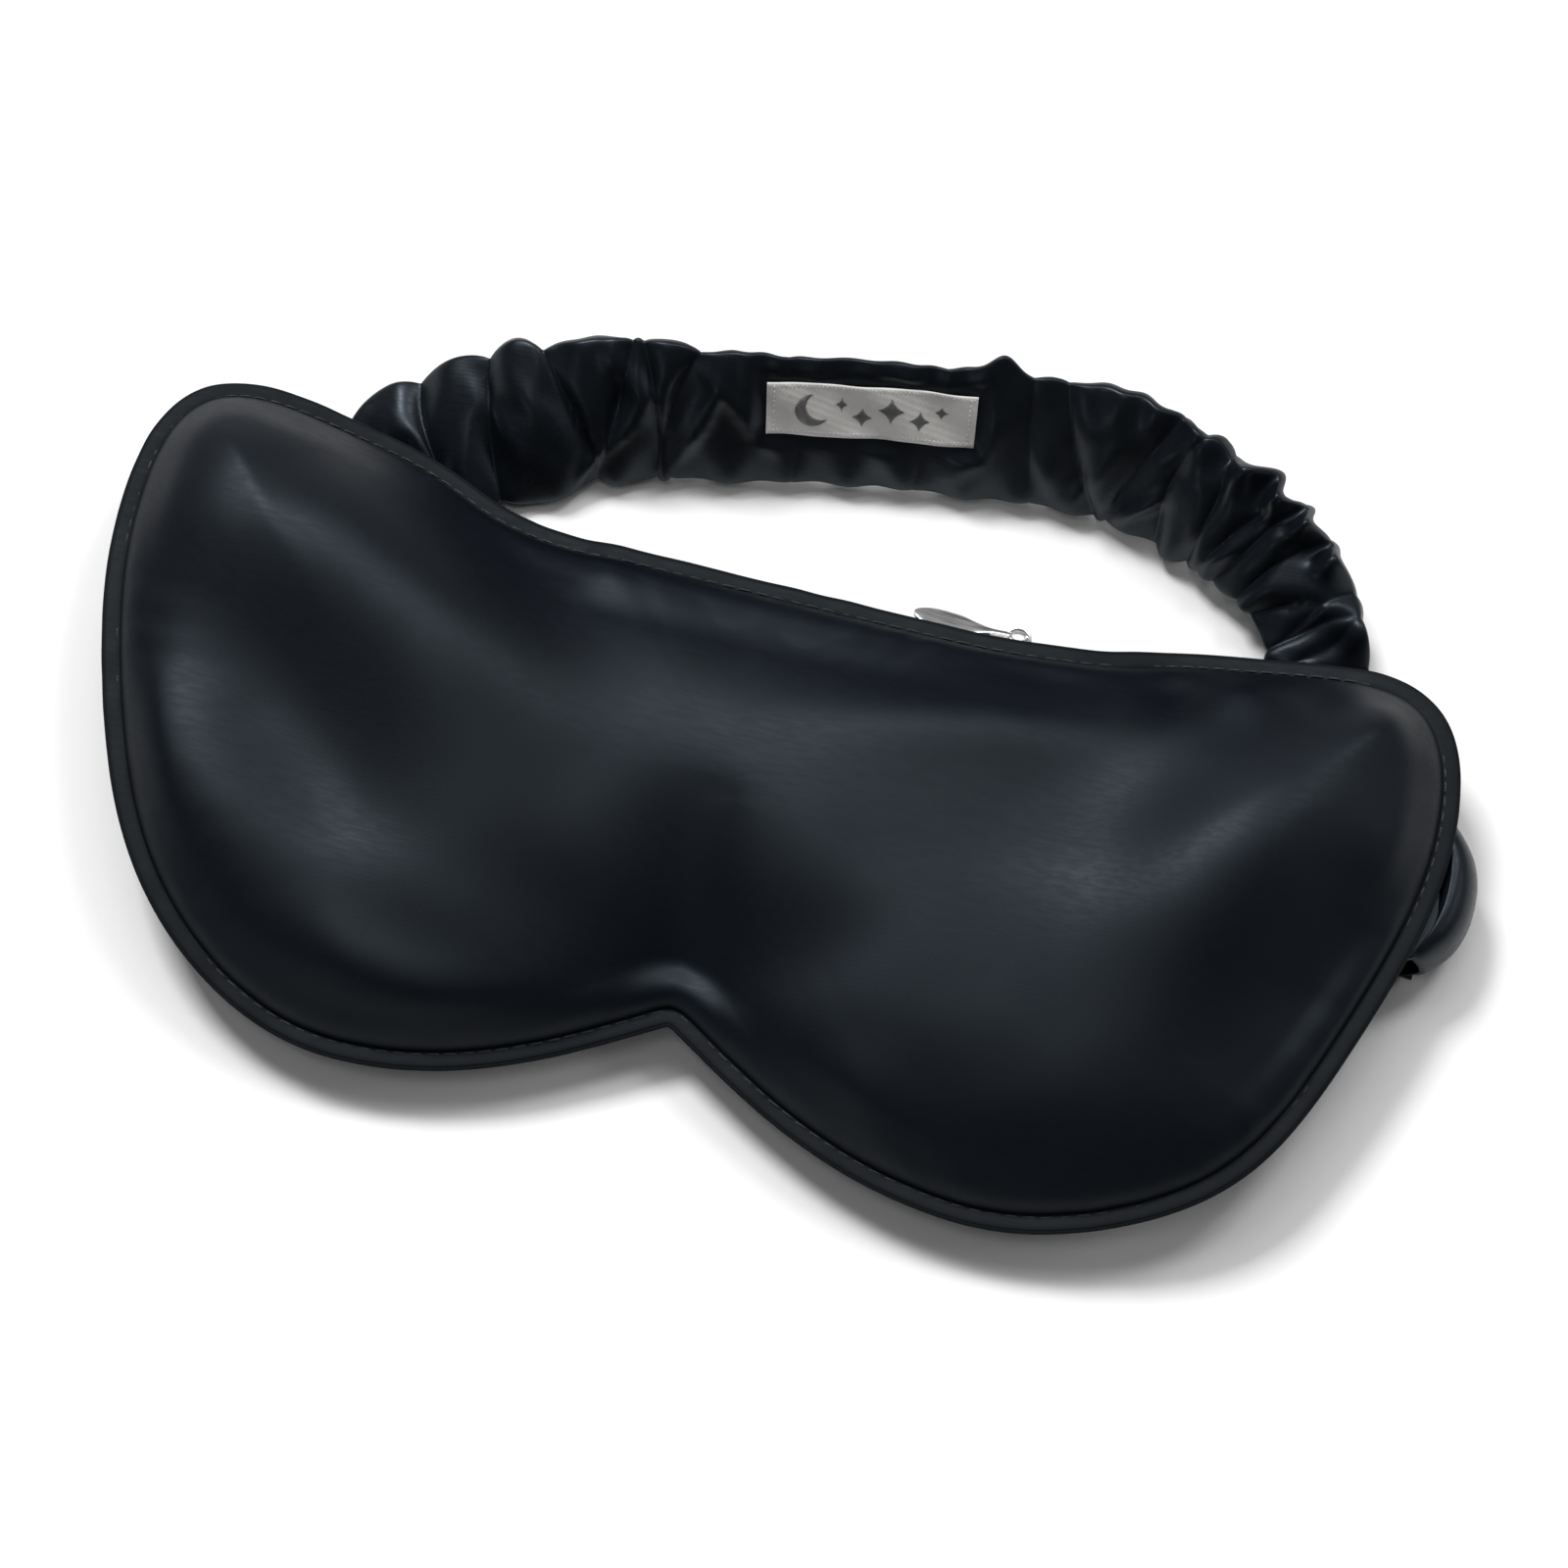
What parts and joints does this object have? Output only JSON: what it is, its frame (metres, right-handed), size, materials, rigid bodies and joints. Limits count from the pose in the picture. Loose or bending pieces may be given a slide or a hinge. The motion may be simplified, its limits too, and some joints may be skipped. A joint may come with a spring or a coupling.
{
  "type": "sleep eye mask",
  "caption": "Padded black satin sleep mask: two-lobed zipped cover with a removable insert, nose notch and a ruched elastic head strap with a sewn label.",
  "frame": {"origin": "middle of the flat of the mask's back, on the table it lies on", "axes": "+X along the mask's width, +Y towards the brow edge and the strap, +Z out of the front"},
  "size_m": [0.221, 0.1266, 0.0221],
  "materials": {
    "black_satin": "black silk satin with a soft sheen",
    "insert_lining": "matt woven cotton",
    "soft_filling": "loose soft filling",
    "zip_tape": "matt woven tape",
    "zip_coil": "moulded coil, semi-gloss",
    "satin_nickel": "brushed nickel plate",
    "elastic": "matt knitted elastic",
    "label_ribbon": "silver-white satin ribbon",
    "sewing_thread": "twisted thread, low sheen"
  },
  "bodies": {
    "mask": {"front_panel": "black_satin", "back_panel": "black_satin", "edge_binding": "black_satin", "insert_cover_front": "insert_lining", "insert_cover_back": "insert_lining", "insert_fill": "soft_filling", "zip_tape_front": "zip_tape", "zip_tape_back": "zip_tape", "zip_coil_front": "zip_coil", "zip_coil_back": "zip_coil", "zip_top_stop": "satin_nickel", "zip_bottom_stop": "satin_nickel", "strap_tab_left": "black_satin", "strap_tab_right": "black_satin", "bar_tack_left": "sewing_thread", "bar_tack_right": "sewing_thread"},
    "zip_slider": {"zip_slider_body": "satin_nickel"},
    "zip_pull": {"zip_pull_tab": "satin_nickel"},
    "strap": {"strap_sleeve": "black_satin", "strap_elastic": "elastic", "strap_label": "label_ribbon", "label_stitch_left": "sewing_thread", "label_stitch_right": "sewing_thread"}
  },
  "joints": [
    {"name": "zip_slide", "type": "slide", "parent": "mask", "child": "zip_slider", "axis": [-1, 0, 0], "range_m": [0, 0.054]},
    {"name": "pull_swing", "type": "hinge", "parent": "zip_slider", "child": "zip_pull", "pos_m": [0.035, 0.03897, 0.00863], "axis": [0, 0.2588, -0.9659], "range_deg": [0, 150]},
    {"name": "strap_swing", "type": "hinge", "parent": "mask", "child": "strap", "pos_m": [0, 0.003, 0.0018], "axis": [-1, 0, 0], "range_deg": [0, 100]}
  ]
}
